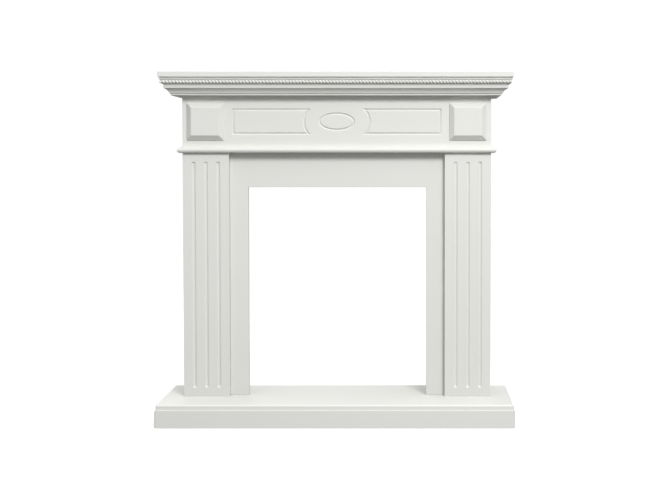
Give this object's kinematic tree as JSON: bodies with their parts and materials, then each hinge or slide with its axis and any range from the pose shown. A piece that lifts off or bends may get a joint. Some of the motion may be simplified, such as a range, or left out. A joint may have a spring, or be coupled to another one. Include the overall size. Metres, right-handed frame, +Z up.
{
  "type": "fireplace mantelpiece",
  "caption": "Freestanding white painted fireplace surround on a plinth, with fluted pilasters, routed frieze, corner blocks, rope crown moulding and mantel shelf.",
  "frame": {"origin": "on the floor, under the middle of the plinth's outline, which is also the middle of the whole part's outline", "axes": "+X to the right along the mantel's width, +Y back towards the wall, +Z up; the front faces -Y"},
  "size_m": [1, 0.34, 0.992],
  "materials": {
    "white_paint": "satin",
    "primed_board": "matte"
  },
  "bodies": {
    "root": {"plinth_top": "white_paint", "plinth_front_rail": "white_paint", "plinth_left_rail": "white_paint", "plinth_right_rail": "white_paint", "plinth_back_rail": "primed_board", "pilaster_left": "white_paint", "pilaster_right": "white_paint", "outer_cheek_left": "white_paint", "outer_cheek_right": "white_paint", "inner_cheek_left": "primed_board", "inner_cheek_right": "primed_board", "fire_panel": "white_paint", "necking": "white_paint", "frieze_front": "white_paint", "frieze_left": "white_paint", "frieze_right": "white_paint", "corner_block_left": "white_paint", "corner_block_right": "white_paint", "crown_front": "white_paint", "crown_left": "white_paint", "crown_right": "white_paint", "rope_front": "white_paint", "rope_left": "white_paint", "rope_right": "white_paint", "shelf": "white_paint"}
  },
  "joints": []
}
